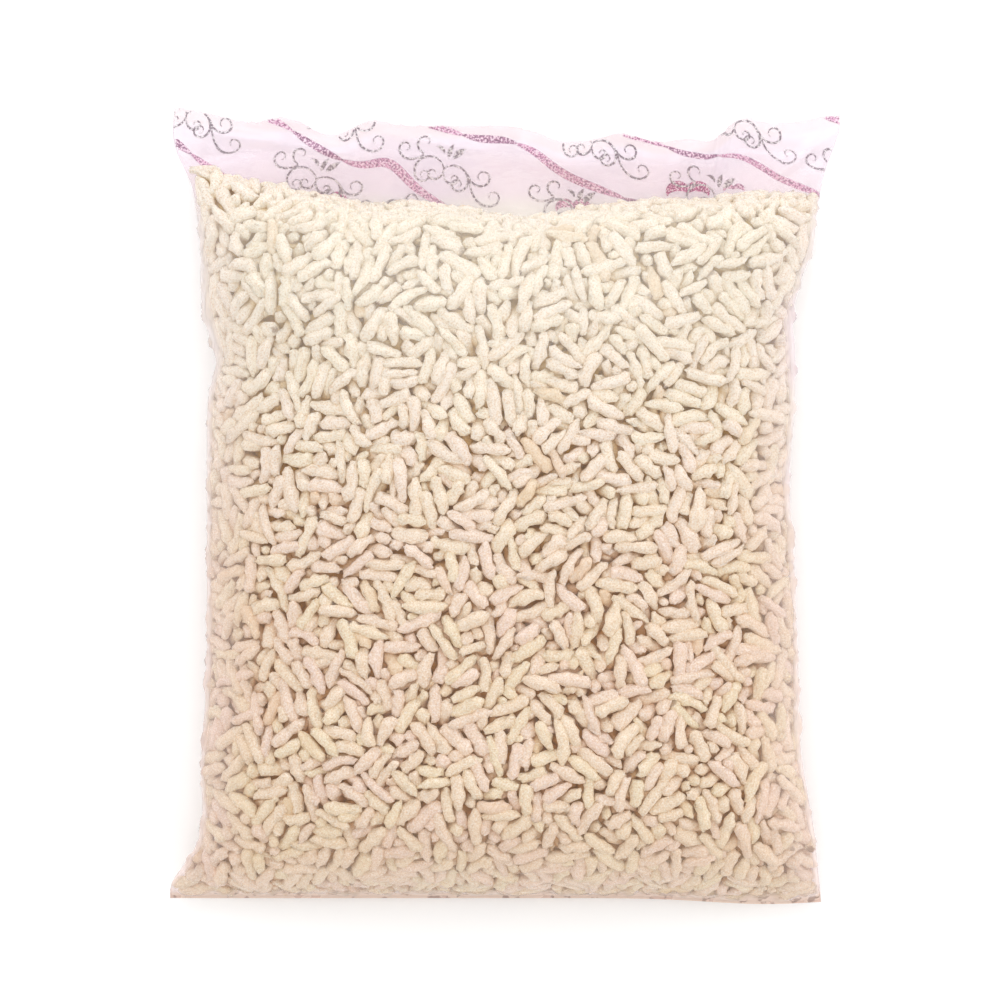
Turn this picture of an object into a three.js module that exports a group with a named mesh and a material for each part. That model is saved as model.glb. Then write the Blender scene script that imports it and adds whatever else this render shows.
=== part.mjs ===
// A clear pillow bag of puffed rice, lying on its back with the shown side up.
// Millimetres. +X runs across the bag, +Y towards its empty header, +Z up.
// One closed solid out to the film: a filled belly, a thin empty header at the
// top, a flat welded seam at each end and four flared corners.
import * as THREE from "three";

// Lengths along the bag
const BAG_LENGTH = 215;
const HALF_LENGTH = BAG_LENGTH / 2;
const FOOT_SEAM = 0.9;
const FOOT_SWELL = 50;
const HEAD_SEAM = 6;
const HEAD_SWELL = 22;
const FOOT_BLUNTNESS = 4.2;
const HEAD_TAPER = 1.8;

// Depths of the filled belly
const FULL_DEPTH = 42;
const FRONT_SHARE = 0.58;
const BACK_SHARE = 1 - FRONT_SHARE;
const FILM_EDGE = 0.8;
const SEAM_HEIGHT = 9;
const BACK_PRESS = 1.12;

// Roundness of the section: the front is domed, the back lies flat
const FRONT_ROUND = 2.5;
const BACK_ROUND = 6;

// How far each side reaches from the middle line, and how its corners flare
const LEFT_SIDE = {
  belly: 80.3,
  head: { flare: 8.9, spread: 20 },
  foot: { flare: 10.4, spread: 14 },
  folds: [
    { at: 96, push: 2.6, spread: 9 },
    { at: 79, push: 1.8, spread: 9 },
    { at: 60, push: 1.8, spread: 12 },
    { at: 39, push: -2.5, spread: 7 },
    { at: -70, push: 1.6, spread: 16 },
    { at: -99, push: 1, spread: 7 },
  ],
};
const RIGHT_SIDE = {
  belly: 77.2,
  head: { flare: 12.6, spread: 24 },
  foot: { flare: 8, spread: 32 },
  folds: [
    { at: 84, push: 1.3, spread: 7 },
    { at: 71, push: 3.8, spread: 10 },
    { at: 50, push: -0.9, spread: 6 },
    { at: 5, push: -1.6, spread: 18 },
    { at: -44, push: 0.6, spread: 12 },
    { at: -98, push: -1, spread: 10 },
  ],
};

// The head edge stands highest at the corners and is drawn down at its folds
const HEAD_CURL = 26;
const HEAD_DRAWN_DOWN = 4.6;
const HEAD_CORNERS = [
  { at: -90, push: 4.6, spread: 16 },
  { at: 90, push: 2.6, spread: 10 },
];
const HEAD_FOLDS = [
  { at: -60, push: 1.8, spread: 6 },
  { at: -47, push: -3, spread: 7 },
  { at: -36, push: 1.1, spread: 5 },
  { at: 18, push: -5, spread: 11 },
  { at: 42, push: -4.3, spread: 10 },
  { at: 55, push: -3.2, spread: 5 },
  { at: 64, push: 1.7, spread: 5 },
];
const FOOT_CURL = 12;
const FOOT_DRAWN_UP = 1.6;
const FOOT_SAG = { at: 70, push: -1.6, spread: 22 };

// Loose film and settled grain
const HEADER_WAVE = 2.2;
const HEADER_WAVE_LENGTH = 62;
const GRAIN_SWELL = 0.7;
const GRAIN_SWELL_LENGTH = 37;
const PUCKER = 0.9;
const PUCKER_LENGTH = 19;
const PUCKER_REACH = 9;
const FOOT_PUCKER_AT = 13;
const HEAD_PUCKER_AT = 34;

// Mesh resolution; rows crowd towards the two seams
const COLUMNS = 44;
const ROWS = 50;
const ROW_CROWDING = 0.45;

function bump(x, fold) {
  const away = (x - fold.at) / fold.spread;
  return fold.push * Math.exp(-away * away);
}

function sum(folds, x) {
  return folds.reduce((total, fold) => total + bump(x, fold), 0);
}

function sideReach(y, side) {
  const head = { at: HALF_LENGTH, push: side.head.flare, spread: side.head.spread };
  const foot = { at: -HALF_LENGTH, push: side.foot.flare, spread: side.foot.spread };
  return side.belly + sum([head, foot, ...side.folds], y);
}

// How full the bag is at y, from 0 at a seam to 1 in the belly: blunt at the
// foot, where the grain presses on the seam, and tapering into the empty header
function fullness(y) {
  const fromFoot = Math.max(0, HALF_LENGTH + y - FOOT_SEAM);
  const fromHead = Math.max(0, HALF_LENGTH - y - HEAD_SEAM);
  const foot = 1 - Math.pow(1 - Math.min(fromFoot / FOOT_SWELL, 1), FOOT_BLUNTNESS);
  const head = 1 - Math.exp(-Math.pow(fromHead / HEAD_SWELL, HEAD_TAPER));
  return foot * head;
}

// The drawn edges at the two ends, easing out into straight rows
function alongBag(x, y) {
  const head = THREE.MathUtils.smoothstep(y, HALF_LENGTH - HEAD_CURL, HALF_LENGTH);
  const foot = 1 - THREE.MathUtils.smoothstep(y, -HALF_LENGTH, FOOT_CURL - HALF_LENGTH);
  const headShift = sum([...HEAD_CORNERS, ...HEAD_FOLDS], x) - HEAD_DRAWN_DOWN;
  const footShift = FOOT_DRAWN_UP + bump(x, FOOT_SAG);
  return y + head * headShift + foot * footShift;
}

function sectionHeight(across, roundness) {
  return Math.sqrt(Math.max(0, 1 - Math.pow(Math.abs(across), roundness)));
}

function pucker(x, y) {
  const foot = bump(y, { at: FOOT_PUCKER_AT - HALF_LENGTH, push: PUCKER, spread: PUCKER_REACH });
  const head = bump(y, { at: HALF_LENGTH - HEAD_PUCKER_AT, push: PUCKER, spread: PUCKER_REACH });
  return (foot + head) * Math.sin(2 * Math.PI * x / PUCKER_LENGTH);
}

// Low swells of the grain under the film, running slantwise
function settledGrain(x, y) {
  const turn = 2 * Math.PI / GRAIN_SWELL_LENGTH;
  return GRAIN_SWELL * Math.sin(turn * (x + 0.4 * y)) * Math.cos(turn * (y - 0.3 * x));
}

// One point of the film: across runs from -1 to 1, side is +1 on the front and -1 on the back
function filmPoint(across, y, side) {
  const reach = sideReach(y, across < 0 ? LEFT_SIDE : RIGHT_SIDE);
  const x = across * reach;
  const full = fullness(y);
  const depth = FULL_DEPTH * full;
  const wave = HEADER_WAVE * (1 - full) * Math.sin(2 * Math.PI * x / HEADER_WAVE_LENGTH)
    * THREE.MathUtils.smoothstep(y, 0, HALF_LENGTH);
  const edge = SEAM_HEIGHT + (BACK_SHARE * FULL_DEPTH - SEAM_HEIGHT) * full + wave;
  const front = sectionHeight(across, FRONT_ROUND);
  const back = sectionHeight(across, BACK_ROUND);
  const relief = front * full * (settledGrain(x, y) + pucker(x, y));
  const z = side > 0
    ? edge + FILM_EDGE / 2 + FRONT_SHARE * depth * front + relief
    : Math.max(0, edge - FILM_EDGE / 2 - BACK_PRESS * BACK_SHARE * depth * back);
  return [x, alongBag(x, y), z];
}

// Front and back sheets of points, joined by a narrow band all the way round
function bagGeometry() {
  const points = [];
  const faces = [];
  const perSheet = (COLUMNS + 1) * (ROWS + 1);
  for (const side of [1, -1]) {
    for (let row = 0; row <= ROWS; row++) {
      const crowded = -Math.cos(Math.PI * row / ROWS);
      const even = 2 * row / ROWS - 1;
      const y = HALF_LENGTH * THREE.MathUtils.lerp(even, crowded, ROW_CROWDING);
      for (let column = 0; column <= COLUMNS; column++) {
        const across = -Math.cos(Math.PI * column / COLUMNS);
        points.push(...filmPoint(across, y, side));
      }
    }
  }
  const at = (row, column) => row * (COLUMNS + 1) + column;
  const quad = (a, b, c, d) => faces.push(a, b, c, a, c, d);
  for (let row = 0; row < ROWS; row++) {
    for (let column = 0; column < COLUMNS; column++) {
      const corners = [at(row, column), at(row, column + 1), at(row + 1, column + 1), at(row + 1, column)];
      const behind = corners.map((index) => index + perSheet).reverse();
      quad(...corners);
      quad(...behind);
    }
  }
  const rim = [];
  for (let column = 0; column < COLUMNS; column++) rim.push(at(0, column));
  for (let row = 0; row < ROWS; row++) rim.push(at(row, COLUMNS));
  for (let column = COLUMNS; column > 0; column--) rim.push(at(ROWS, column));
  for (let row = ROWS; row > 0; row--) rim.push(at(row, 0));
  rim.forEach((here, index) => {
    const next = rim[(index + 1) % rim.length];
    quad(here + perSheet, next + perSheet, next, here);
  });
  const geometry = new THREE.BufferGeometry();
  geometry.setAttribute("position", new THREE.Float32BufferAttribute(points, 3));
  geometry.setIndex(faces);
  geometry.computeVertexNormals();
  geometry.computeBoundingBox();
  const middle = geometry.boundingBox.getCenter(new THREE.Vector3());
  geometry.translate(-middle.x, -middle.y, 0);
  return geometry;
}

const puffedRice = new THREE.MeshStandardMaterial({ color: 0xe8d6bf, roughness: 0.7, metalness: 0 });
const bag = new THREE.Mesh(bagGeometry(), puffedRice);
bag.name = "rice_bag";

const group = new THREE.Group();
group.add(bag);
export default group;
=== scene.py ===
"""A clear pillow bag of puffed rice, lying on its back: film, print, seams and loose grains.

Shapes are worked out in millimetres and made in metres. +X runs across the bag, +Y towards
its empty header and +Z up through the shown side.
"""
import itertools
import math

import bpy
import numpy as np
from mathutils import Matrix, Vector


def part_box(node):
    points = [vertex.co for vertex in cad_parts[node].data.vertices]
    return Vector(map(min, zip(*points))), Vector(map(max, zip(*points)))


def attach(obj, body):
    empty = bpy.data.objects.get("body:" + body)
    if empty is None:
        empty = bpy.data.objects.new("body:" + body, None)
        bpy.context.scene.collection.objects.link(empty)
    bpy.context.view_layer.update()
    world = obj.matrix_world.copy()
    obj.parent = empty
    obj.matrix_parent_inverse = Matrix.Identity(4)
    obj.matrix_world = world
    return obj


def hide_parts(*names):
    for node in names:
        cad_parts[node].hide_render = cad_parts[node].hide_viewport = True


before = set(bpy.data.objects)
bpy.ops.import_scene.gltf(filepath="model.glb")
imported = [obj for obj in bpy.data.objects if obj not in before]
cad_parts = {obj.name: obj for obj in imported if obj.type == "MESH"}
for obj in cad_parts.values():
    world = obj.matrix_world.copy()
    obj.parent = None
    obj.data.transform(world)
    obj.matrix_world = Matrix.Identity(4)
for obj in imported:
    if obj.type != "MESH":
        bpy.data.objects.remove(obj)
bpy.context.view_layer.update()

MM = 0.001
BAG = [[side / MM for side in corner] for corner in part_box("rice_bag")]
HALF_LENGTH = (BAG[1][1] - BAG[0][1]) / 2


# ------------ the bag's form

FULL_DEPTH = 42
FRONT_SHARE = 0.58
BACK_SHARE = 1 - FRONT_SHARE
BACK_PRESS = 1.12
SEAM_HEIGHT = 9
FRONT_ROUND = 2.5
BACK_ROUND = 6
FOOT_SEAM, FOOT_SWELL, FOOT_BLUNTNESS = 0.9, 50, 4.2
HEAD_SEAM, HEAD_SWELL, HEAD_TAPER = 6, 22, 1.8

# Each side reaches this far from the middle line; folds are (place, push, spread)
LEFT_BELLY = 80.3
LEFT_FOLDS = [(HALF_LENGTH, 8.9, 20), (96, 2.6, 9), (79, 1.8, 9), (60, 1.8, 12), (39, -2.5, 7),
              (-70, 1.6, 16), (-99, 1, 7), (-HALF_LENGTH, 10.4, 14)]
RIGHT_BELLY = 77.2
RIGHT_FOLDS = [(HALF_LENGTH, 12.6, 24), (84, 1.3, 7), (71, 3.8, 10), (50, -0.9, 6), (5, -1.6, 18),
               (-44, 0.6, 12), (-98, -1, 10), (-HALF_LENGTH, 8, 32)]

# The head edge stands highest at the corners and is drawn down at its folds
HEAD_CURL = 26
HEAD_DRAWN_DOWN = 4.6
HEAD_FOLDS = [(-90, 4.6, 16), (90, 2.6, 10), (-60, 1.8, 6), (-47, -3, 7), (-36, 1.1, 5),
              (18, -5, 11), (42, -4.3, 10), (55, -3.2, 5), (64, 1.7, 5)]
FOOT_CURL = 12
FOOT_DRAWN_UP = 1.6
FOOT_SAG = [(70, -1.6, 22)]
HEADER_WAVE, HEADER_WAVE_LENGTH = 2.2, 62
FILM_LIFT = 0.25
LOWEST = 0.15

# Creases pressed into the loose header: from one point to another, height and spread
CREASES = [((-75, 100), (-45, 95), 1.1, 1.6), ((-88, 93), (-62, 97), -0.8, 2.0),
           ((89, 101), (75, 91), 1.6, 1.8), ((84, 94), (66, 97), -0.9, 2.2),
           ((57, 98), (55, 84), -1.8, 1.6), ((50, 96), (44, 88), 0.8, 2.0),
           ((-30, 100), (-8, 96), 0.7, 1.5), ((4, 97), (3, 86), 0.9, 2.4),
           ((14, 101), (34, 97), -0.8, 1.7), ((-66, 104), (-20, 103), 0.4, 1.2)]


def folds(place, pushes):
    return sum(push * np.exp(-((place - at) / spread) ** 2) for at, push, spread in pushes)


def ease(value, low, high):
    step = np.clip((value - low) / (high - low), 0, 1)
    return step * step * (3 - 2 * step)


def side_reach(y, left):
    return np.where(left, LEFT_BELLY + folds(y, LEFT_FOLDS), RIGHT_BELLY + folds(y, RIGHT_FOLDS))


def fullness(y):
    from_foot = np.maximum(0, HALF_LENGTH + y - FOOT_SEAM)
    from_head = np.maximum(0, HALF_LENGTH - y - HEAD_SEAM)
    foot = 1 - (1 - np.minimum(from_foot / FOOT_SWELL, 1)) ** FOOT_BLUNTNESS
    head = 1 - np.exp(-(from_head / HEAD_SWELL) ** HEAD_TAPER)
    return foot * head


def edge_height(full):
    return SEAM_HEIGHT + (BACK_SHARE * FULL_DEPTH - SEAM_HEIGHT) * full


def creases(x, y):
    total = 0
    for (x0, y0), (x1, y1), height, spread in CREASES:
        length = math.hypot(x1 - x0, y1 - y0)
        along = ((x - x0) * (x1 - x0) + (y - y0) * (y1 - y0)) / length
        aside = ((x - x0) * (y1 - y0) - (y - y0) * (x1 - x0)) / length
        past = np.maximum(0, np.maximum(-along, along - length))
        total = total + height * np.exp(-(aside / spread) ** 2 - (past / 4) ** 2)
    return total


def along_bag(x, y):
    """Rows near the two seams follow the drawn edges."""
    head = ease(y, HALF_LENGTH - HEAD_CURL, HALF_LENGTH)
    foot = 1 - ease(y, -HALF_LENGTH, FOOT_CURL - HALF_LENGTH)
    head_shift = folds(x, HEAD_FOLDS) - HEAD_DRAWN_DOWN
    foot_shift = FOOT_DRAWN_UP + folds(x, FOOT_SAG)
    return y + head * head_shift + foot * foot_shift


def film_points(across, y, front, inset=0):
    """Points of the film, across from -1 to 1; a positive inset draws them into the bag."""
    full = fullness(y)
    reach = side_reach(y, across < 0) - inset
    x = across * reach
    wave = HEADER_WAVE * (1 - full) * np.sin(2 * np.pi * x / HEADER_WAVE_LENGTH)
    edge = edge_height(full) + wave * ease(y, 0, HALF_LENGTH)
    roundness = FRONT_ROUND if front else BACK_ROUND
    section = np.sqrt(np.maximum(0, 1 - np.abs(across) ** roundness))
    if front:
        z = edge + np.maximum(FRONT_SHARE * FULL_DEPTH * full - inset, 0) * section
    else:
        z = edge - np.maximum(BACK_PRESS * BACK_SHARE * FULL_DEPTH * full - inset, 0) * section
    rows = along_bag(x, y)
    if not inset:
        z = z + creases(x, rows) * (1 - full)
    return np.stack([x, rows, np.maximum(z, FILM_LIFT + inset)], axis=-1)


# ------------ packing the grains

GRAIN_LENGTH, LENGTH_SPREAD, LENGTH_RANGE = 9.9, 1.5, (6.0, 13.0)
GRAIN_WIDTH, WIDTH_SPREAD, WIDTH_RANGE = 3.5, 0.36, (2.7, 4.3)
# Each grain is packed as four balls in a row: their places and radii as shares of its size
BALLS = np.array([-1, -1 / 3, 1 / 3, 1])
BALL_WIDTHS = np.array([0.42, 0.49, 0.49, 0.42])
PACKING = 1.22
# Loose grains fill a shell this thick, over a core that stops short of both ends
SHELL = 8.0
FILM_GAP = 0.25
FOOT_GAP = 1.3
ROUNDS = 140
CORE_START, CORE_END = 11 - HALF_LENGTH, 68
TOASTED = 0.03
DARK_TIPPED = 0.035
PART_ENDS = [-40, 26]
# The line that the grain fills the bag to, and where it rises above or dips under it
FILL_LINE = 79
FILL_RISES = [(-86, 9, 16), (-62, 3, 20), (4, -4.2, 17), (-38, -1.2, 7), (78, 2.4, 26)]
FILL_SLOPE = 0.3
SAMPLES, MOST_GRAINS = 400000, 20000
START_GAP = 1.5
SPINDLE_SHARE = 0.78
LIE_FLAT = 0.75
TIP_INSET = 0.40
PAIR_REACH = 4.4
DRIFT, CORE_PUSH = 0.1, 0.25
GIVE_WAY, TURN_AWAY = 0.42, 1.2


def pillow_level(points, inset):
    """Below 1 inside the pillow drawn in by inset, above 1 outside it."""
    x, y, z = points.T
    full = np.interp(y, ROW_Y, ROW_FULL)
    width = np.where(x < 0, np.interp(y, ROW_Y, ROW_LEFT), np.interp(y, ROW_Y, ROW_RIGHT)) - inset
    edge = edge_height(full)
    upper = z > edge
    share = np.where(upper, FRONT_SHARE, BACK_PRESS * BACK_SHARE)
    depth = np.maximum(share * FULL_DEPTH * full - inset, 0.05)
    roundness = np.where(upper, FRONT_ROUND, BACK_ROUND)
    return (np.abs(x) / width) ** roundness + ((z - edge) / depth) ** 2


ROW_Y = np.linspace(-HALF_LENGTH, HALF_LENGTH, 433)
ROW_FULL = fullness(ROW_Y)
ROW_LEFT = side_reach(ROW_Y, True)
ROW_RIGHT = side_reach(ROW_Y, False)


def film_distance(points, step=0.05):
    """How far each point is outside the film, and the way out."""
    def root(at):
        return np.sqrt(pillow_level(at, 0)) - 1
    slope = np.stack([(root(points + step * way) - root(points - step * way)) / (2 * step)
                      for way in np.eye(3)], axis=1)
    steepness = np.linalg.norm(slope, axis=1) + 1e-9
    return root(points) / steepness, slope / steepness[:, None]


def in_core(points):
    full = np.interp(points[:, 1], ROW_Y, ROW_FULL)
    deep_enough = FRONT_SHARE * FULL_DEPTH * full > SHELL + 1
    between_ends = (points[:, 1] > CORE_START) & (points[:, 1] < CORE_END)
    return (pillow_level(points, SHELL) < 1) & deep_enough & between_ends


def over_fill_line(points):
    """How far each point is above the slope that the grain's top end lies at."""
    x, y, z = points.T
    line = FILL_LINE + folds(x, FILL_RISES)
    return y - line - FILL_SLOPE * np.clip(22 - z, -8, 12)


def close_pairs(points, reach, owner):
    """Pairs of balls of different grains that are within reach, found cell by cell."""
    cell = np.floor(points / reach).astype(np.int64)
    cell -= cell.min(axis=0) - 1
    rows = cell.max(axis=0) + 2
    key = (cell[:, 0] * rows[1] + cell[:, 1]) * rows[2] + cell[:, 2]
    order = np.argsort(key, kind="stable")
    sorted_key = key[order]
    first, second = [], []
    own = (0, 0, 0)
    # a cell's own balls, then those of half of the cells around it
    for step in (way for way in itertools.product((-1, 0, 1), repeat=3) if way >= own):
        wanted = key + (step[0] * rows[1] + step[1]) * rows[2] + step[2]
        low = np.searchsorted(sorted_key, wanted, "left")
        count = np.searchsorted(sorted_key, wanted, "right") - low
        one = np.repeat(np.arange(len(points)), count)
        within = np.arange(count.sum()) - np.repeat(np.cumsum(count) - count, count)
        other = order[np.repeat(low, count) + within]
        keep = owner[one] != owner[other]
        if step == own:
            keep &= one < other
        one, other = one[keep], other[keep]
        near = ((points[one] - points[other]) ** 2).sum(axis=1) < reach ** 2
        first.append(one[near])
        second.append(other[near])
    return np.concatenate(first), np.concatenate(second)


def packed_grains(seed=7):
    """Grains pressed out against the film, each with its place, axis, length and width."""
    rng = np.random.default_rng(seed)
    low = np.array([-92, -HALF_LENGTH, 0])
    high = np.array([92, HALF_LENGTH, 44])
    points = rng.uniform(low, high, (SAMPLES, 3))
    outside, _ = film_distance(points)
    free = (outside < -START_GAP) & (points[:, 2] > START_GAP)
    free &= (over_fill_line(points) < -START_GAP) & ~in_core(points)
    room = free.mean() * np.prod(high - low)
    length = np.clip(rng.normal(GRAIN_LENGTH, LENGTH_SPREAD, MOST_GRAINS), *LENGTH_RANGE)
    width = np.clip(rng.normal(GRAIN_WIDTH, WIDTH_SPREAD, MOST_GRAINS), *WIDTH_RANGE)
    count = int(PACKING * room / (np.pi / 4 * width ** 2 * length * SPINDLE_SHARE).mean())
    place = points[np.flatnonzero(free)[:count]]
    length, width = length[:count], width[:count]
    _, out = film_distance(place)
    axis = rng.normal(size=(count, 3))
    axis -= out * (axis * out).sum(axis=1)[:, None] * LIE_FLAT
    axis /= np.linalg.norm(axis, axis=1)[:, None]
    arm_length = BALLS * (length / 2 - TIP_INSET * width)[:, None]
    radius = (BALL_WIDTHS * width[:, None]).ravel()
    owner = np.repeat(np.arange(count), len(BALLS))
    inertia = (arm_length ** 2).sum(axis=1)[:, None]
    for turn in range(ROUNDS):
        arm = arm_length[:, :, None] * axis[:, None, :]
        ball = (place[:, None, :] + arm).reshape(-1, 3)
        if turn % 5 == 0:
            one, other = close_pairs(ball, PAIR_REACH, owner)
        apart = ball[one] - ball[other]
        gap = np.linalg.norm(apart, axis=1) + 1e-9
        overlap = radius[one] + radius[other] - gap
        touching = overlap > 0
        push = apart[touching] / gap[touching, None] * (0.5 * overlap[touching])[:, None]
        move = np.stack([np.bincount(one[touching], push[:, way], len(ball))
                         - np.bincount(other[touching], push[:, way], len(ball))
                         for way in range(3)], axis=1)
        outside, out = film_distance(ball)
        move -= out * np.clip(outside + radius + FILM_GAP, 0, 3)[:, None]
        move[:, 2] += np.maximum(radius - ball[:, 2], 0)
        move[:, 1] += np.clip(FOOT_GAP + radius - HALF_LENGTH - ball[:, 1], 0, 3)
        move += out * np.where(in_core(ball), CORE_PUSH, 0)[:, None]
        move[:, 1] -= np.clip(over_fill_line(ball) + radius, 0, 3)
        drift = np.where(ball[:, 1:2] > CORE_END - 2, [0, 1, 0], out)
        move += drift * DRIFT * (1 - turn / ROUNDS)
        move = move.reshape(count, len(BALLS), 3)
        place = place + move.sum(axis=1) * GIVE_WAY
        axis = axis + np.cross(np.cross(arm, move).sum(axis=1) / inertia, axis) * TURN_AWAY
        axis /= np.linalg.norm(axis, axis=1)[:, None]
    place[:, 1] = along_bag(place[:, 0], place[:, 1])
    return place, axis, length, width


# ------------ node trees

class Value:
    """A node's output that takes part in sums: each operator adds its Math node."""

    def __init__(self, tree, socket):
        self.tree = tree
        self.socket = socket

    def twin(self, out):
        """Another output of the same node."""
        return Value(self.tree, self.socket.node.outputs[out])

    def __add__(self, other):
        return self.tree.math("ADD", self, other)

    def __radd__(self, other):
        return self.tree.math("ADD", other, self)

    def __sub__(self, other):
        return self.tree.math("SUBTRACT", self, other)

    def __rsub__(self, other):
        return self.tree.math("SUBTRACT", other, self)

    def __mul__(self, other):
        return self.tree.math("MULTIPLY", self, other)

    def __rmul__(self, other):
        return self.tree.math("MULTIPLY", other, self)

    def __truediv__(self, other):
        return self.tree.math("DIVIDE", self, other)

    def __pow__(self, other):
        return self.tree.math("POWER", self, other)

    def __abs__(self):
        return self.tree.math("ABSOLUTE", self)


class Tree:
    """A node tree, and the few ways in which nodes are added to it."""

    def __init__(self, tree):
        self.tree = tree

    def add(self, kind, settings=None, sockets=None, out=0):
        node = self.tree.nodes.new(kind)
        for name, setting in (settings or {}).items():
            setattr(node, name, setting)
        for name, value in (sockets or {}).items():
            if isinstance(value, Value):
                self.tree.links.new(value.socket, node.inputs[name])
            else:
                node.inputs[name].default_value = value
        return Value(self, node.outputs[out])

    def math(self, operation, *terms):
        return self.add("ShaderNodeMath", {"operation": operation}, dict(enumerate(terms)))

    def vector(self, operation, *terms, out=0, **named):
        sockets = {**dict(enumerate(terms)), **named}
        return self.add("ShaderNodeVectorMath", {"operation": operation}, sockets, out)

    def part(self, vector, letter):
        return self.add("ShaderNodeSeparateXYZ", None, {0: vector}, letter)

    def between(self, value, low, high, start=0.0, end=1.0):
        """Eases from start to end as the value goes from low to high."""
        return self.add("ShaderNodeMapRange", {"interpolation_type": "SMOOTHSTEP"},
                        {0: value, 1: low, 2: high, 3: start, 4: end})

    def blend(self, factor, one, other):
        return self.add("ShaderNodeMix", {"data_type": "RGBA"}, {0: factor, 6: one, 7: other}, 2)

    def noise(self, scale, detail, where=None):
        """Noise over the piece's own points, or over the points given."""
        return self.add("ShaderNodeTexNoise", None,
                        {"Vector": where or self.place(), "Scale": scale, "Detail": detail})


def colour(red, green, blue):
    """A colour as it is seen, 0 to 255, turned into the light it sends back."""
    return tuple((part / 255) ** 2.2 for part in (red, green, blue)) + (1,)


class Shading(Tree):
    """A material's node tree with its shader and output."""

    def __init__(self, name, **uniform):
        self.material = bpy.data.materials.new(name)
        self.material.use_nodes = True
        super().__init__(self.material.node_tree)
        self.tree.nodes.clear()
        self.shader = self.tree.nodes.new("ShaderNodeBsdfPrincipled")
        self.output = self.tree.nodes.new("ShaderNodeOutputMaterial")
        self.tree.links.new(self.shader.outputs[0], self.output.inputs["Surface"])
        for socket, value in uniform.items():
            self.shader.inputs[socket.replace("_", " ")].default_value = value

    def feed(self, socket, value):
        self.tree.links.new(value.socket, self.shader.inputs[socket])

    def attribute(self, name, out=2):
        return self.add("ShaderNodeAttribute", {"attribute_name": name}, None, out)

    def place(self):
        return self.add("ShaderNodeTexCoord", None, None, "Object")

    def relief(self, height, distance):
        return self.add("ShaderNodeBump", None, {"Height": height, "Distance": distance})

    def bump(self, height, distance):
        self.feed("Normal", self.relief(height, distance))

    def show(self, shader):
        self.tree.links.new(shader.socket, self.output.inputs["Surface"])


class Growth(Tree):
    """A Geometry Nodes tree with named inputs for its sizes."""

    KINDS = {"geometry": "NodeSocketGeometry", "number": "NodeSocketFloat", "count": "NodeSocketInt",
             "material": "NodeSocketMaterial", "object": "NodeSocketObject"}

    def __init__(self, name, **inputs):
        super().__init__(bpy.data.node_groups.new(name, "GeometryNodeTree"))
        face = self.tree.interface
        face.new_socket("Geometry", in_out="INPUT", socket_type=self.KINDS["geometry"])
        face.new_socket("Geometry", in_out="OUTPUT", socket_type=self.KINDS["geometry"])
        self.identifiers = {}
        for label, kind in inputs.items():
            name = label.replace("_", " ")
            socket = face.new_socket(name, in_out="INPUT", socket_type=self.KINDS[kind])
            self.identifiers[label] = socket.identifier
        self.inlet = self.tree.nodes.new("NodeGroupInput")
        self.outlet = self.tree.nodes.new("NodeGroupOutput")

    def given(self, label):
        return Value(self, self.inlet.outputs[label.replace("_", " ")])

    def stored(self, name, kind="FLOAT"):
        return self.add("GeometryNodeInputNamedAttribute", {"data_type": kind}, {"Name": name})

    def stored_vector(self, name):
        return self.stored(name, "FLOAT_VECTOR")

    def place(self):
        return self.add("GeometryNodeInputPosition")

    def normal(self):
        return self.add("GeometryNodeInputNormal")

    def mesh_of(self, label):
        return self.add("GeometryNodeObjectInfo", {"transform_space": "RELATIVE"},
                        {"Object": self.given(label)}, "Geometry")

    def moved(self, geometry, **how):
        """Sets each point's Position, or shifts it by an Offset."""
        return self.add("GeometryNodeSetPosition", None, {"Geometry": geometry, **how})

    def store(self, geometry, name, value, kind="FLOAT"):
        settings = {"data_type": kind, "domain": "POINT"}
        return self.add("GeometryNodeStoreNamedAttribute", settings,
                        {"Geometry": geometry, "Name": name, "Value": value})

    def finish(self, geometry):
        """Ends the tree with real, smooth mesh in the material given as Finish."""
        solid = self.add("GeometryNodeRealizeInstances", None, {0: geometry})
        smooth = self.add("GeometryNodeSetShadeSmooth", None, {"Geometry": solid})
        done = self.add("GeometryNodeSetMaterial", None,
                        {"Geometry": smooth, "Material": self.given("Finish")})
        self.tree.links.new(done.socket, self.outlet.inputs[0])

    def grow(self, piece, **values):
        """Runs the tree on a piece and leaves the result as its plain mesh."""
        modifier = piece.modifiers.new(self.tree.name, "NODES")
        modifier.node_group = self.tree
        for label, value in values.items():
            modifier[self.identifiers[label]] = value
        seen = piece.evaluated_get(bpy.context.evaluated_depsgraph_get())
        mesh = bpy.data.meshes.new_from_object(seen)
        piece.modifiers.clear()
        piece.data = mesh
        return piece


# ------------ pieces

def note(mesh, name, values):
    """Stores a number or a vector at each point of the mesh."""
    kind, field = ("FLOAT", "value") if values.ndim == 1 else ("FLOAT_VECTOR", "vector")
    layer = mesh.attributes.new(name, kind, "POINT")
    layer.data.foreach_set(field, values.astype(np.float32).ravel())


def new_piece(name, points, faces=(), material=None, edges=(), **attributes):
    """A mesh object from points in millimetres, with point attributes."""
    mesh = bpy.data.meshes.new(name)
    mesh.from_pydata((np.asarray(points) * MM).tolist(), edges, faces)
    for label, values in attributes.items():
        note(mesh, label, values)
    if material:
        mesh.materials.append(material)
    piece = bpy.data.objects.new(name, mesh)
    bpy.context.collection.objects.link(piece)
    return piece


# Each grain takes its own stretch of the noise, this far on from the last
SKIN_STEP = (37.0, 61.0, 83.0)


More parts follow.
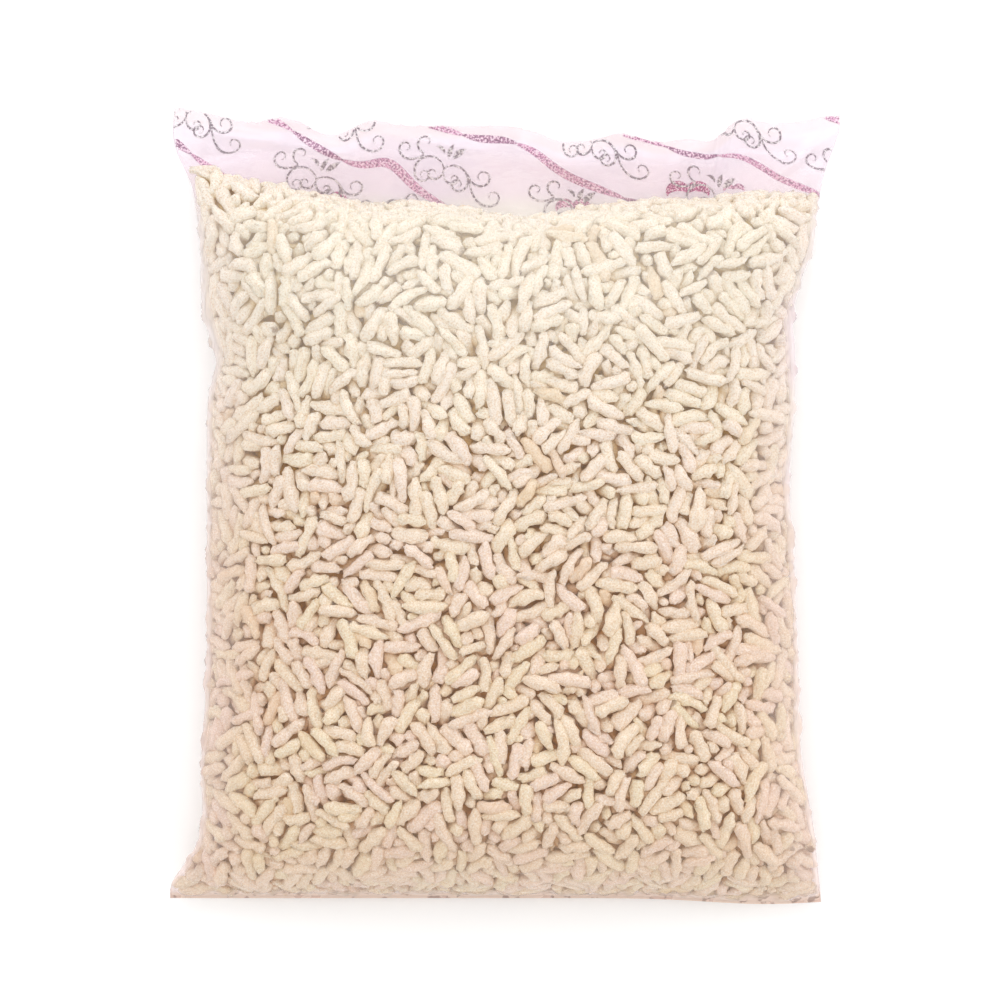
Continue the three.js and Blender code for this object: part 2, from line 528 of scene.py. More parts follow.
def grain_growth():
    """Sets a spindle on every point, then leans, bends and puffs each its own way."""
    tree = Growth("Puffed grains", Sides="count", Rings="count", Blunt="number", Lean="number",
                  Ends="number", Knuckles="number", Relief="number", Relief_size="number",
                  Finish="material")
    ball = tree.add("GeometryNodeMeshUVSphere", None,
                    {"Segments": tree.given("Sides"), "Rings": tree.given("Rings"), "Radius": 1.0})
    at = tree.place()
    along = tree.part(at, "Z")
    # a spindle: fuller than a ball in the middle and drawn to blunt tips
    profile = (1 - abs(along) ** 4.0) ** tree.given("Blunt")
    ring = tree.math("MAXIMUM", tree.math("SQRT", 1 - along * along), 0.001)
    swell = profile / ring
    shape = tree.add("ShaderNodeCombineXYZ", None, {"X": swell, "Y": swell, "Z": 1.0})
    spindle = tree.moved(ball, Position=tree.vector("MULTIPLY", at, shape))
    spindle = tree.store(spindle, "grain_along", along)
    spindle = tree.store(spindle, "grain_skin", at, "FLOAT_VECTOR")
    chance = tree.stored("chance")
    aim = tree.add("FunctionNodeAlignRotationToVector", {"axis": "Z"},
                   {"Vector": tree.stored_vector("axis")})
    spin = tree.add("FunctionNodeAxisAngleToRotation", None,
                    {"Axis": (0, 0, 1), "Angle": chance * math.tau})
    turned = tree.add("FunctionNodeRotateRotation", {"rotation_space": "LOCAL"},
                      {"Rotation": aim, "Rotate By": spin})
    grains = tree.add("GeometryNodeInstanceOnPoints", None,
                      {"Points": tree.given("Geometry"), "Instance": spindle, "Rotation": turned,
                       "Scale": tree.stored_vector("sizes")})
    solid = tree.add("GeometryNodeRealizeInstances", None, {0: grains})
    along = tree.stored("grain_along")
    axis = tree.stored_vector("axis")
    heart = tree.stored_vector("heart")
    arm = tree.vector("SUBTRACT", tree.place(), heart)
    spoke = tree.vector("SUBTRACT", arm, tree.vector("PROJECT", arm, axis))
    lean = along * (chance - 0.5) * tree.given("Lean")
    ends = along * along * (tree.stored("plump") - 0.5) * tree.given("Ends")
    knuckles = tree.math("SINE", along * 6.5 + chance * 50) * tree.given("Knuckles")
    girth = tree.vector("SCALE", spoke, Scale=lean + ends + knuckles)
    bend = tree.vector("SCALE", tree.stored_vector("bend"), Scale=0.4 - along * along)
    skin = tree.vector("MULTIPLY", tree.stored_vector("grain_skin"), (1.0, 1.0, 2.4))
    apart = tree.vector("ADD", skin, tree.vector("SCALE", SKIN_STEP, Scale=chance))
    lumps = tree.noise(tree.given("Relief_size"), 0.0, apart) - 0.5
    puff = tree.vector("SCALE", tree.normal(), Scale=lumps * tree.given("Relief"))
    offset = tree.vector("ADD", bend, tree.vector("ADD", puff, girth))
    tree.finish(tree.moved(solid, Offset=offset))
    return tree


def puffed_rice():
    """Porous, chalky skin: each grain has its own tint, a few are toasted or keep a dark tip. A faint
    warm glow, painted shade deep under the film and painted light towards the head are painted in too.
    """
    # painted glow: the faint warm emission stands in for light let through the grains and lifts the
    # shade in the gaps
    paint = Shading("puffed rice", Roughness=0.85, Specular_IOR_Level=0.2,
                    Emission_Color=(1.0, 0.62, 0.28, 1), Emission_Strength=0.044)
    tone, toast, tip, shade_depth = (paint.attribute(name) for name in ("tone", "toast", "tip", "shade_depth"))
    skin = paint.attribute("grain_skin", 1)
    step = paint.vector("SCALE", SKIN_STEP, Scale=paint.attribute("chance"))
    apart = paint.vector("ADD", skin, step)
    streaks = paint.noise(1.0, 3.0, paint.vector("MULTIPLY", apart, (4.0, 4.0, 1.6)))
    pores = paint.noise(2300.0, 1.0)
    lumps = paint.noise(900.0, 2.0)
    # painted light: towards the head the grains are painted whiter, where the lamps and their
    # reflection in the film fall strongest
    head = paint.between(paint.part(paint.place(), "Y"), -0.045, 0.068)
    base = paint.blend(tone, colour(236, 214, 199), colour(236, 224, 191))
    base = paint.blend(head * 0.75, base, colour(253, 254, 240))
    base = paint.blend(paint.between(streaks, 0.42, 0.72, 0.0, 0.5), base, colour(242, 218, 184))
    base = paint.blend(paint.between(pores, 0.52, 0.68, 0.0, 0.6), base, colour(222, 190, 156))
    base = paint.blend(paint.between(pores, 0.48, 0.34, 0.0, 0.5), base, colour(255, 250, 240))
    patch = paint.between(lumps, 0.35, 0.65, 0.7, 1.0) * toast
    base = paint.blend(patch, base, colour(226, 192, 142))
    # painted shade: the deeper a grain lies under the film, the more it turns a dark gold, lighter
    # towards the head
    depth = paint.blend(head, colour(190, 123, 20), colour(212, 173, 50))
    base = paint.blend(paint.between(shade_depth, 0.0016, 0.0048, 0.0, 0.95), base, depth)
    along = paint.part(skin, "Z")
    dark = paint.between(along + lumps * 0.3, 0.95, 1.12) * tip
    base = paint.blend(dark, base, colour(116, 70, 34))
    paint.feed("Base Color", base)
    paint.bump(streaks * 0.4 + pores * 0.35 + lumps * 0.6, 0.0006)
    return paint.material


def core_shade_paint():
    """Deep rice, painted a dark gold that is painted shade, as it shows in the gaps."""
    paint = Shading("deep rice", Roughness=0.9, Specular_IOR_Level=0.1)
    depth = paint.noise(260.0, 3.0)
    paint.feed("Base Color", paint.blend(depth, colour(202, 142, 56), colour(234, 190, 100)))
    paint.bump(depth, 0.002)
    return paint.material


def sheet_faces(columns, rows, flip=False):
    faces = []
    for row in range(rows):
        for column in range(columns):
            a = row * (columns + 1) + column
            quad = (a, a + 1, a + columns + 2, a + columns + 1)
            faces.append(quad[::-1] if flip else quad)
    return faces


def gloss_over(paint, body, least):
    """A sheen over the film's body that grows as the film turns edge-on."""
    slant = paint.add("ShaderNodeLayerWeight", None, {"Blend": 0.5}, "Facing")
    wrinkles = paint.noise(140.0, 3.0)
    ripple = paint.relief(wrinkles, 0.0012)
    gloss = paint.add("ShaderNodeBsdfGlossy", None,
                      {"Color": (1, 1, 1, 1), "Roughness": 0.26, "Normal": ripple})
    share = least + 0.35 * slant ** 5.0
    paint.show(paint.add("ShaderNodeMixShader", None, {0: share, 1: body, 2: gloss}))


def tint_over(paint, share, let_through):
    """The film's colour, which hides a share of what is behind it: its own tints, a painted sheen that
    whitens it towards the head, and painted shade on the hem at the foot.
    """
    clouds = paint.between(paint.noise(55.0, 2.0), 0.3, 0.7)
    pink = paint.blend(clouds, colour(245, 229, 245), colour(251, 231, 243))
    along = paint.part(paint.place(), "Y")
    # painted sheen: the cover's colour whitens towards the head, standing for the lamps' reflection in
    # the film
    painted_head_sheen = paint.between(along, -0.03, 0.06)
    white = paint.blend(painted_head_sheen, colour(255, 228, 196), colour(252, 248, 234))
    # pink in the header, and over the grain a cream that is painted whiter towards the head as a
    # painted sheen
    tint = paint.blend(paint.between(along, 0.080, 0.086), white, pink)
    tint = paint.blend(paint.attribute("bare"), tint, colour(249, 232, 240))
    tint = paint.blend(paint.attribute("weld") * 0.7, tint, colour(244, 218, 216))
    # painted shade at the foot: the hem's darker beige and its brown specks stand for the shade of the
    # grains and their shadows along the weld
    shadow_specks = paint.between(paint.noise(420.0, 2.0), 0.57, 0.65, 0.0, 0.7)
    hem_and_shade = paint.blend(shadow_specks, colour(236, 206, 186), colour(136, 98, 78))
    paint.feed("Base Color", paint.blend(paint.attribute("hem_and_shade"), tint, hem_and_shade))
    through = paint.add("ShaderNodeBsdfTransparent", None, {"Color": let_through})
    body = Value(paint, paint.shader.outputs[0])
    return paint.add("ShaderNodeMixShader", None, {0: share, 1: through, 2: body})


def clear_film():
    """See-through film, whitened where it is creased, whitened towards the head by a painted sheen, and
    welded at the foot, where its hem is darkened with painted shade and painted shadow specks.
    """
    paint = Shading("clear film", Roughness=0.4)
    cover = paint.math("MAXIMUM", paint.attribute("veil") * 0.62, paint.attribute("hem_and_shade") * 0.8)
    gloss_over(paint, tint_over(paint, cover, (0.996, 0.98, 0.995, 1)), 0.05)
    return paint.material


def printed_film():
    """The same film with a thin pink wash printed on it."""
    paint = Shading("printed film", Roughness=0.4)
    gloss_over(paint, tint_over(paint, 0.4, (0.99, 0.968, 0.985, 1)), 0.03)
    return paint.material


def film_growth():
    """Draws a sheet of film down onto the grains behind it."""
    tree = Growth("Drawn film", Grains="object", Reach="number", Slack="number", Gap="number",
                  Finish="material")
    at = tree.place()
    out = tree.normal()
    grains = tree.mesh_of("Grains")
    start = tree.vector("ADD", at, tree.vector("SCALE", out, Scale=tree.given("Reach")))
    ray = tree.add("GeometryNodeRaycast", None,
                   {"Target Geometry": grains, "Source Position": start,
                    "Ray Direction": tree.vector("SCALE", out, Scale=-1.0),
                    "Ray Length": tree.given("Reach") * 3}, "Hit Distance")
    rise = tree.given("Reach") - ray + tree.given("Gap")
    least = tree.given("Slack") * tree.stored("loose") * -1
    rise = tree.add("GeometryNodeSwitch", {"input_type": "FLOAT"},
                    {"Switch": ray.twin("Is Hit"), "False": least, "True": rise})
    rise = tree.math("MAXIMUM", rise, least) * tree.stored("give")
    # bridges the hollows between grains, and never dips below a grain
    for rounds in (6, 2):
        taut = tree.add("GeometryNodeBlurAttribute", {"data_type": "FLOAT"},
                        {"Value": rise, "Iterations": rounds})
        rise = tree.math("MAXIMUM", taut, rise) * tree.stored("give")
    tree.finish(tree.moved(tree.given("Geometry"), Offset=tree.vector("SCALE", out, Scale=rise)))
    return tree


def tucked_growth():
    """Presses in whatever stands out of the film."""
    tree = Growth("Grains under film", Film="object", Gap="number", Finish="material")
    film = tree.mesh_of("Film")
    at = tree.place()
    near = tree.add("GeometryNodeProximity", {"target_element": "FACES"}, {0: film}, "Position")
    out = tree.add("GeometryNodeSampleNearestSurface", {"data_type": "FLOAT_VECTOR"},
                   {"Mesh": film, "Value": tree.stored_vector("out")})
    outside = tree.vector("DOT_PRODUCT", tree.vector("SUBTRACT", at, near), out, out="Value")
    push = tree.math("MAXIMUM", outside + tree.given("Gap"), 0.0) * -1
    tree.finish(tree.moved(tree.given("Geometry"), Offset=tree.vector("SCALE", out, Scale=push)))
    return tree


def unrolled(points, axis):
    """How far each point lies from the middle line, measured along the film."""
    steps = np.linalg.norm(np.diff(points, axis=axis), axis=2)
    length = np.insert(np.cumsum(steps, axis=axis), 0, 0, axis=axis)
    return length - np.take(length, [length.shape[axis] // 2], axis=axis)


# The film whitens in a strip along each side, wider at its empty folds, with a thinner haze that
# reaches further in and over the foot, and a painted sheen that rises up towards the fill line.
# EMPTY_FOLDS gives the place, the reach and the strength of the two folds where the printed back comes
# round the right side.
STRIP = 2.8
LEFT_STRIP_FOLDS = [(54, 2.4, 16)]
RIGHT_STRIP_FOLDS = [(44, 3.0, 11), (9, 2.0, 5)]
HAZE_REACH = [6, 21]
HAZE, SIDE_HAZE, FOOT_HAZE, HEAD_PAINTED_SHEEN = 0.045, 0.38, 0.34, 0.34
EMPTY_FOLDS = [(44, (8, 22), 1), (9, (3, 7), 0.8)]


def film_marks(across, y, x):
    """Where the film is whitened (towards the head by a painted sheen), bare of grain, welded, and
    hemmed with painted shade at the foot, each from 0 to 1.
    """
    from_side = (1 - np.abs(across)) * side_reach(y, across < 0)
    from_foot, from_head = y + HALF_LENGTH, HALF_LENGTH - y
    wider = np.where(across < 0, folds(y, LEFT_STRIP_FOLDS), folds(y, RIGHT_STRIP_FOLDS))
    foot_haze = FOOT_HAZE * (1 - ease(from_foot, 1.5, 42)) * (0.25 + 0.75 * ease(from_foot, 3, 14))
    haze_and_sheen = np.maximum(SIDE_HAZE * (1 - ease(from_side, *HAZE_REACH)), foot_haze)
    # painted sheen: the cover rises towards the head, standing for the lamps' reflection in the sloping
    # film
    haze_and_sheen = np.maximum(np.maximum(haze_and_sheen, HEAD_PAINTED_SHEEN * ease(y, 0, 66)), HAZE)
    veil = np.maximum(1 - ease(from_side, 0.3, STRIP + wider), haze_and_sheen)
    bare = 0 * y
    for place, reach, strength in EMPTY_FOLDS:
        bare = np.maximum(bare, strength * (1 - ease(np.abs(y - place), *reach)))
    bare = bare * (across > 0) * (1 - ease(from_side, 4, 7))
    # the foot's hem: the weld strip, where the film carries painted shade
    ragged = from_foot + 0.5 * np.sin(x / 2.9) + 0.4 * np.sin(x / 1.1 + 2)
    return {"veil": veil * (1 - 0.9 * ease(y, 72, 86)),
            "bare": np.maximum(bare, 0.6 * (1 - ease(from_side, 3, 17))),
            "weld": 1 - ease(from_head, 3, 4.5),
            "hem_and_shade": 1 - ease(ragged, 1.5, 3.6)}


def bag_of_film(bed, columns=176, rows=216):
    """One closed shell of film drawn onto the grains, then parted at the rim into its two sheets."""
    along = np.linspace(-1, 1, rows + 1)
    y = HALF_LENGTH * (0.7 * along + 0.3 * np.sin(np.pi / 2 * along))
    across, y = np.meshgrid(-np.cos(np.pi * np.linspace(0, 1, columns + 1)), y)
    front, back = film_points(across, y, True), film_points(across, y, False)
    # the two sheets share their points along the rim
    front_index = np.arange(y.size).reshape(y.shape)
    back_index = front_index.copy()
    inner = (rows - 1, columns - 1)
    back_index[1:-1, 1:-1] = y.size + np.arange(inner[0] * inner[1]).reshape(inner)
    corners = [(slice(0, -1), slice(0, -1)), (slice(0, -1), slice(1, None)),
               (slice(1, None), slice(1, None)), (slice(1, None), slice(0, -1))]
    front_faces = np.stack([front_index[corner].ravel() for corner in corners], axis=1)
    back_faces = np.stack([back_index[corner].ravel() for corner in corners[::-1]], axis=1)
    points = np.concatenate([front.reshape(-1, 3), back[1:-1, 1:-1].reshape(-1, 3)])
    loose = (np.arange(len(points)) < y.size).astype(float)
    # the welded foot keeps its line
    give = ease(y + HALF_LENGTH, 0.2, 1.6)
    give = np.concatenate([give.ravel(), give[1:-1, 1:-1].ravel()])
    faces = np.concatenate([front_faces, back_faces]).tolist()
    shell = new_piece("shell", points, faces, loose=loose, give=give)
    film_growth().grow(shell, Grains=bed, Reach=2.5 * MM, Slack=0.5 * MM, Gap=0.25 * MM, Finish=None)
    drawn = points_of(shell) / MM
    # nothing of it reaches the floor
    drawn[:, 2] = np.maximum(drawn[:, 2], LOWEST)
    shell.data.vertices.foreach_set("co", (drawn * MM).astype(np.float32).ravel())
    shell.data.update()
    out = np.empty(len(points) * 3, np.float32)
    shell.data.vertex_normals.foreach_get("vector", out)
    note(shell.data, "out", out.reshape(-1, 3))
    # where each point of the back film comes when it is laid flat
    lay = np.stack([unrolled(back, 1), unrolled(back, 0), 0 * y], axis=-1) * MM
    marks = {name: mark.ravel() for name, mark in film_marks(across, y, front[..., 0]).items()}
    sheets = []
    for name, index, finish, flip in (("front_film", front_index, clear_film(), False),
                                      ("back_film", back_index, printed_film(), True)):
        faces = sheet_faces(columns, rows, flip)
        sheet = new_piece(name, drawn[index.ravel()], faces, finish, lay=lay.reshape(-1, 3), **marks)
        sheet.data.shade_smooth()
        sheets.append(sheet)
    return shell, sheets


def core(material, columns=60, rows=72):
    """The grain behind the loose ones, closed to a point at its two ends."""
    share = np.linspace(-1, 1, rows + 1)
    across, share = np.meshgrid(-np.cos(np.pi * np.linspace(0, 1, columns + 1)), share)
    foot, head = CORE_START + 1, CORE_END + 2
    y = (foot + head) / 2 + (head - foot) / 2 * np.sin(np.pi / 2 * share)
    taper = np.sqrt(np.maximum(0, 1 - np.abs(share) ** 14))
    edge = edge_height(fullness(y))
    sides = []
    for front in (True, False):
        points = film_points(across, y, front, SHELL - 0.5)
        points[..., 2] = edge + (points[..., 2] - edge) * taper
        sides.append(points.reshape(-1, 3))
    offset = len(sides[0])
    faces = sheet_faces(columns, rows)
    faces += [tuple(index + offset for index in face) for face in sheet_faces(columns, rows, True)]
    return new_piece("rice_core", np.concatenate(sides), faces, material)


def sideways(axis, rng):
    """A way square to each axis, at random."""
    way = np.cross(axis, rng.normal(size=axis.shape))
    return way / np.linalg.norm(way, axis=1)[:, None]


def lay_grains(finish):
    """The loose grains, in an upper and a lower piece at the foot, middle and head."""
    place, axis, length, width = packed_grains()
    rng = np.random.default_rng(11)
    count = len(place)
    tree = grain_growth()
    sizes = np.stack([width / 2, width / 2 * rng.uniform(0.85, 1.0, count), length / 2], axis=1) * MM
    bend = sideways(axis, rng) * (rng.uniform(0, 1.1, count) * MM)[:, None]
    marks = {"tone": rng.uniform(0, 1, count), "chance": rng.uniform(0, 1, count),
             "plump": rng.uniform(0, 1, count),
             "toast": np.where(rng.random(count) < TOASTED, rng.uniform(0.15, 0.55, count), 0),
             "tip": np.where(rng.random(count) < DARK_TIPPED, rng.uniform(0.5, 1, count), 0)}
    marks |= {"axis": axis, "sizes": sizes, "bend": bend, "heart": place * MM}
    full = np.interp(place[:, 1], ROW_Y, ROW_FULL)
    upper = place[:, 2] > edge_height(full)
    parts = np.digitize(place[:, 1], PART_ENDS)
    pieces = []
    for side, on_side, sides, rings in (("shown", upper, 8, 9), ("under", ~upper, 6, 7)):
        for part, part_name in enumerate(("foot", "middle", "head")):
            chosen = on_side & (parts == part)
            piece = new_piece(f"grains_{side}_{part_name}", place[chosen],
                              **{name: mark[chosen] for name, mark in marks.items()})
            tree.grow(piece, Sides=sides, Rings=rings, Blunt=0.52, Lean=0.5, Ends=0.4,
                      Knuckles=0.09, Relief=2.0 * MM, Relief_size=1.5, Finish=finish)
            note_depth(piece)
            pieces.append(piece)
    return pieces


def points_of(piece):
    places = np.empty(len(piece.data.vertices) * 3, np.float32)
    piece.data.vertices.foreach_get("co", places)
    return places.reshape(-1, 3)


def note_depth(piece):
    """Marks each point of the grains with its depth under the film, in metres, which sets the painted
    shade in the gaps.
    """
    places = points_of(piece).astype(float) / MM
    outside, _ = film_distance(places)
    shade_depth = np.minimum(-outside, -over_fill_line(places))
    shade_depth = np.minimum(shade_depth, 0.9 * (places[:, 1] + HALF_LENGTH - FOOT_GAP) - 0.5)
    note(piece.data, "shade_depth", np.clip(shade_depth, 0, 20).astype(np.float32) * MM)


def joined(name, pieces):
    """One object with all the pieces' meshes, for the film to be drawn onto."""
    mesh = bpy.data.meshes.new(name)
    points, faces, start = [], [], 0
    for piece in pieces:
        points.append(points_of(piece))
        faces += [tuple(index + start for index in face.vertices) for face in piece.data.polygons]
        start += len(points[-1])
    mesh.from_pydata(np.concatenate(points).tolist(), [], faces)
    whole = bpy.data.objects.new(name, mesh)
    bpy.context.collection.objects.link(whole)
    return whole


# ------------ the print on the back film

# Curls of one flourish: start, heading, length and bend of the arch (left is positive), then the
# winding end's length and its bend at the start and at the tip
CURLS = [((0, 0), 97, 13.6, 0.25, 10, 0.4, 1.1), ((0, 0), 268, 0, 0, 10.3, -0.25, -1.3),
         ((0, 0), 36, 10.5, -0.24, 11.5, -0.35, -1.1), ((0, -1.6), 272, 0, 0, 9.1, 0.25, 1.6),
         ((6.6, -1.8), 292, 1.1, 0, 13.8, 0.25, 0.85), ((6.9, -2.6), 277, 1.8, 0, 18.2, 0.08, 1.1),
         ((-5.2, 4.1), 214, 0, 0, 14.6, -0.12, -1.2), ((-5.3, 4.3), 150, 0, 0, 9.4, -0.25, -1.0)]
CURL_STEPS = 34
CURL_WIDTH = 0.5
# Petals: start, heading, length, bend and width
PETALS = [((0.2, 4.3), 92, 3.2, 0.5, 0.9), ((1.3, 2.9), 82, 4.2, -0.12, 1.3),
          ((2.7, 2.7), 52, 4.4, -0.1, 1.7)]
# Places on the film laid flat: the flourishes that show in the header, and the even rows below them
HEAD_FLOURISHES = [(-89.8, 108.2), (-52, 90.4), (-17.3, 92.4), (24, 100.6), (66, 105.6), (-48.8, 108.7)]
FLOURISH_START = (-59.5, 71.9)
FLOURISH_STEP = (38.8, 4.3)
FLOURISH_FALL = (0.6, -21.5)
BLOSSOM = [((0, 0), 115, 6.5, 0.42, 2.5), ((0, 0), 65, 6.5, -0.42, 2.5)]
BLOSSOM_SHIFT = (-6, -19)
BLOSSOM_LEVEL = 102
EXTRA_BLOSSOMS = [(49.4, 86.2, 1.25, 2), (-48.6, 83.8, 1.05, 1.7), (62.3, 87.2, 0.6, 1.2)]

# Ribbons: where each crosses the line RIBBON_LEVEL, its slope, where and how far it bows up, how
# far before the crossing its back starts to show, and how wide it is
RIBBON_LEVEL = 95
HEAD_RIBBONS = [(-84, -0.71, -110, 6, 18, 2.4), (-42.3, -0.51, -32, 6, 18, 2.6),
                (4.3, -0.39, 5, 11, 16.5, 2.6), (56.8, -0.34, 66, 9, 12, 2)]
LEFT_RIBBON, RIGHT_RIBBON, RIBBON_STEP, RIBBON_SLOPE = -84, 74, 49, -0.42
RIBBON_BOW, RIBBON_WIDTH = 4.5, 2.6
RIBBON_BACK, RIBBON_FACE, RIBBON_LEAD = 15, 29, 18
RIBBON_HALF, RIBBON_STEPS = 104, 420
PRINT_FOOT = -103


def walked(start, heading, step):
    """Where each of a walk's even steps comes to."""
    way = np.stack([np.cos(heading), np.sin(heading)], axis=1) * step
    return start + np.concatenate([[(0, 0)], np.cumsum(way, axis=0)])


def curl(start, heading, arch, arch_bend, length, bend, tip_bend):
    """A line that arches and then winds up evenly from one bend to a tighter one."""
    travel = np.linspace(0, arch + length, CURL_STEPS)
    growth = math.log(tip_bend / bend)
    wound = np.maximum(travel - arch, 0)
    angle = math.radians(heading) + arch_bend * np.minimum(travel, arch)
    angle = angle + length / growth * bend * (np.exp(growth * wound / length) - 1)
    share = travel / travel[-1]
    width = CURL_WIDTH * (0.45 + 0.75 * np.sin(np.pi * np.clip(share * 0.9 + 0.12, 0, 1)))
    return walked(start, (angle[1:] + angle[:-1]) / 2, travel[1]), width


def petal(start, heading, length, bend, width):
    share = np.linspace(0, 1, 9)
    angle = math.radians(heading) + bend * length * (share[1:] + share[:-1]) / 2
    return walked(start, angle, length / 8), width * np.sin(np.pi * (0.1 + 0.9 * share))


def flourish_places():
    places = list(HEAD_FLOURISHES)
    for fall in range(9):
        for step in range(-6, 6):
            x = FLOURISH_START[0] + step * FLOURISH_STEP[0] + fall * FLOURISH_FALL[0]
            y = FLOURISH_START[1] + step * FLOURISH_STEP[1] + fall * FLOURISH_FALL[1]
            if abs(x) < 112 and abs(y) < 118:
                places.append((x, y))
    return places


def flourish_lines():
    one = [curl(*shape) for shape in CURLS] + [petal(*shape) for shape in PETALS]
    return [(points + place, width, 0 * width) for place in flourish_places() for points, width in one]


def blossom_lines():
    """Two fat petals under each flourish; mark 1.5 is the mauve and 2 the strong pink."""
    one = [petal(*shape) for shape in BLOSSOM]
    places = [(x + BLOSSOM_SHIFT[0], y + BLOSSOM_SHIFT[1], 1, 1.5)
              for x, y in flourish_places() if y < BLOSSOM_LEVEL]
    places += EXTRA_BLOSSOMS
    return [(points * size + (x, y), width * size, 0 * width + mark)
            for x, y, size, mark in places for points, width in one]


def ribbon_lines():
    """Twisting ribbons: a short length shows the back, the next and longer one the face."""
    x = np.linspace(-RIBBON_HALF, RIBBON_HALF, RIBBON_STEPS)
    ribbons = list(HEAD_RIBBONS)
    for step in range(1, 9):
        for cross in (LEFT_RIBBON - step * RIBBON_STEP, RIGHT_RIBBON + step * RIBBON_STEP):
            ribbons.append((cross, RIBBON_SLOPE, cross + 11 * step, 8, RIBBON_LEAD, RIBBON_WIDTH))
    lines = []
    for cross, slope, bow, spread, lead, breadth in ribbons:
        y = RIBBON_LEVEL + slope * (x - cross) + RIBBON_BOW * np.exp(-((x - bow) / spread) ** 2)
        phase = (x - cross + lead) % (RIBBON_BACK + RIBBON_FACE)
        face = phase > RIBBON_BACK
        share = np.where(face, (phase - RIBBON_BACK) / RIBBON_FACE, phase / RIBBON_BACK)
        width = breadth * np.where(face, 1, 0.8) * (0.14 + 0.86 * np.sin(np.pi * share) ** 0.6)
        lines.append((np.stack([x, y], axis=1), width, face.astype(float)))
    return lines


def print_growth():
    """Lays flat lines on the film, each widened to a strip, on both of its faces."""
    tree = Growth("Print on film", Film="object", Lift="number", Strands="count", Rim="number",
                  Finish="material")
    line = tree.add("GeometryNodeCurvePrimitiveLine", None, {"Start": (-0.5, 0, 0), "End": (0.5, 0, 0)})
    profile = tree.add("GeometryNodeResampleCurve", None,
                       {"Curve": line, "Count": tree.given("Strands")})
    curves = tree.add("GeometryNodeMeshToCurve", None, {0: tree.given("Geometry")})
    strips = tree.add("GeometryNodeCurveToMesh", None,
                      {"Curve": curves, "Profile Curve": profile, "Scale": tree.stored("width")})
    film = tree.mesh_of("Film")
    flat = tree.place()

    def on_film(value, kind="FLOAT_VECTOR"):
        return tree.add("GeometryNodeSampleUVSurface", {"data_type": kind},
                        {"Mesh": film, "Value": value, "UV Map": tree.stored_vector("lay"),
                         "Sample UV": flat})
    place = on_film(tree.place())
    out = on_film(tree.normal())
    off_rim = tree.math("LESS_THAN", on_film(tree.stored("veil"), "FLOAT"), tree.given("Rim"))
    kept = place.twin("Is Valid") * off_rim
    strips = tree.add("GeometryNodeDeleteGeometry", None, {"Geometry": strips, "Selection": 1 - kept})
    faces = []
    for side in (1.0, -1.0):
        lifted = tree.vector("ADD", place, tree.vector("SCALE", out, Scale=tree.given("Lift") * side))
        faces.append(tree.moved(strips, Position=lifted))
    faces[0] = tree.add("GeometryNodeFlipFaces", None, {"Mesh": faces[0]})
    both = tree.tree.nodes.new("GeometryNodeJoinGeometry")
    for face in faces:
        tree.tree.links.new(face.socket, both.inputs[0])
    tree.finish(Value(tree, both.outputs[0]))
    return tree


def glitter(name, dark, middle, bright, fineness):
    """Coarse flakes in the ink, the brightest of them painted glints."""
    paint = Shading(name, Roughness=0.35, Specular_IOR_Level=0.6)
    flakes = paint.noise(fineness, 1.0)
    bands = paint.noise(70.0, 1.0) - 0.5
    face = paint.attribute("face")
    base = paint.blend(paint.between(face + bands, 0.3, 0.7), dark, middle)
    base = paint.blend(paint.between(face, 1.1, 2.0), base, colour(196, 84, 142))
    # painted glints: the brightest flakes are painted near white
    base = paint.blend(paint.between(flakes, 0.5, 0.6), base, bright)
    base = paint.blend(paint.between(flakes, 0.47, 0.38, 0.0, 0.7), base, colour(130, 108, 122))
    paint.feed("Base Color", base)
    paint.bump(flakes, 0.0003)
    return paint.material


def lay_print(film):
    """The ribbons and flourishes, drawn flat and laid on the back film."""
    tree = print_growth()
    ribbon_ink = glitter("ribbon ink", colour(182, 134, 164), colour(222, 162, 196),
                         colour(248, 222, 236), 2000.0)
    flourish_ink = glitter("flourish ink", colour(170, 160, 166), colour(184, 172, 178),
                           colour(236, 228, 232), 1600.0)
    inks = {"print_ribbons": (ribbon_lines() + blossom_lines(), 0.08, 5, ribbon_ink),
            "print_flourishes": (flourish_lines(), 0.12, 2, flourish_ink)}
    pieces = []
    for name, (lines, lift, strands, finish) in inks.items():
        edges, start = [], 0
        for line, _, _ in lines:
            inside = (line[:, 1] > PRINT_FOOT) & (np.abs(line[:, 1]) < RIBBON_HALF + 10)
            kept = np.flatnonzero(inside[:-1] & inside[1:]) + start
            edges += [(index, index + 1) for index in kept.tolist()]
            start += len(line)
        points, width, face = (np.concatenate(values) for values in zip(*lines))
        piece = new_piece(name, np.column_stack([points, 0 * width]), edges=edges,
                          width=width * MM, face=face)
        tree.grow(piece, Film=film, Lift=lift * MM, Strands=strands, Rim=0.7, Finish=finish)
        pieces.append(piece)
    return pieces


# ------------ light, floor and camera

FLOOR_REACH = 3000
LIT_POINT = Vector((0, 0, 0.02))
EYE, LENS = (-0.0019, 0.0016, 0.894), 118


def light(name, place, size, glow, glossy=True):
    """A soft box, turned to the bag, that shines glow times as bright as lit white paper."""
    lamp = bpy.data.lights.new(name, "AREA")
    lamp.shape = "RECTANGLE"
    lamp.size, lamp.size_y = size
    lamp.energy = glow * math.pi * size[0] * size[1]
    holder = bpy.data.objects.new(name, lamp)
    holder.location = place
    holder.rotation_euler = (LIT_POINT - Vector(place)).to_track_quat("-Z", "Y").to_euler()
    holder.visible_glossy = glossy
    bpy.context.collection.objects.link(holder)


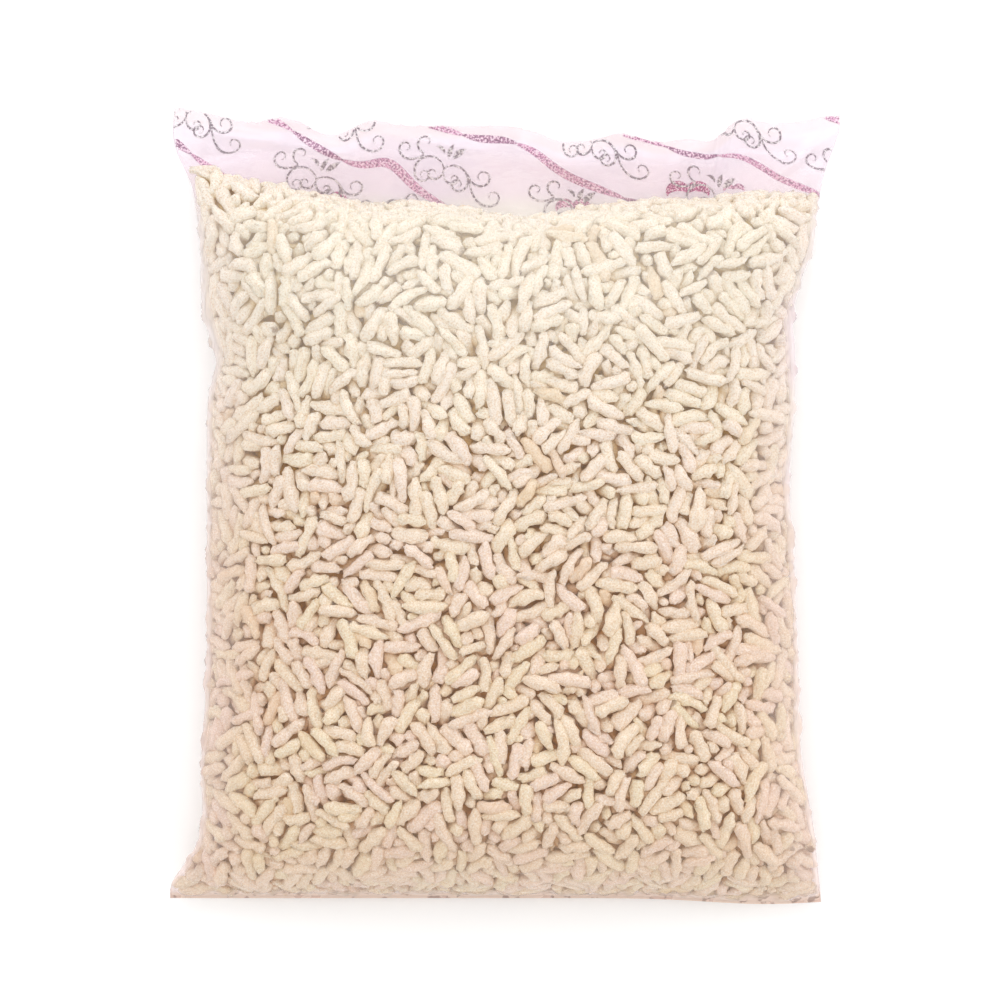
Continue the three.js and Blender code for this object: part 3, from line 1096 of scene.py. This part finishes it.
def stage():
    """A pale floor, soft boxes all round and an even white room."""
    corners = np.array([[-1, -1, 0], [1, -1, 0], [1, 1, 0], [-1, 1, 0]]) * FLOOR_REACH
    floor = new_piece("floor", corners, [(0, 1, 2, 3)])
    paint = Shading("pale floor", Roughness=0.9, Base_Color=(0.96, 0.96, 0.96, 1),
                    Emission_Color=(1, 1, 1, 1), Emission_Strength=0.1)
    floor.data.materials.append(paint.material)
    light("key", (-0.25, 0.62, 0.95), (1.1, 0.45), 0.85)
    light("panel", (0, 0.62, 1.45), (1.5, 0.9), 1.07)
    light("back", (0, 1.4, 0.42), (1.8, 0.7), 1.49)
    light("fill", (0.0, -0.1, 1.5), (0.7, 0.7), 2.2, glossy=False)
    light("front", (0, -1.1, 0.9), (1.2, 0.6), 1.35, glossy=False)
    light("left", (-1.3, 0, 0.5), (0.9, 0.5), 2.2, glossy=False)
    light("right", (1.3, 0, 0.5), (0.9, 0.5), 4.04, glossy=False)
    world = bpy.data.worlds.new("studio")
    world.use_nodes = True
    room = world.node_tree.nodes["Background"]
    room.inputs["Color"].default_value = (1, 1, 1, 1)
    room.inputs["Strength"].default_value = 0.48
    bpy.context.scene.world = world
    bpy.context.scene.view_settings.view_transform = "Standard"


def camera():
    """Looks straight down on the bag."""
    eye = bpy.data.cameras.new("camera")
    eye.sensor_width = 36
    eye.lens = LENS
    eye.clip_end = 20
    holder = bpy.data.objects.new("camera", eye)
    holder.location = EYE
    bpy.context.collection.objects.link(holder)
    bpy.context.scene.camera = holder


camera()
stage()
rice = puffed_rice()
grains = lay_grains(rice)
heart = core(core_shade_paint())
bed = joined("bed", grains)
shell, (front_film, back_film) = bag_of_film(bed)
tuck = tucked_growth()
for grain in grains:
    tuck.grow(grain, Film=shell, Gap=0.15 * MM, Finish=rice)
bpy.data.objects.remove(bed)
bpy.data.objects.remove(shell)
ink = lay_print(back_film)

slots = {"puffed_rice": grains + [heart], "clear_film": [front_film],
         "printed_film": [back_film], "print_ink": ink}
for slot, pieces in slots.items():
    for piece in pieces:
        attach(piece, "root")
        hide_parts("rice_bag")
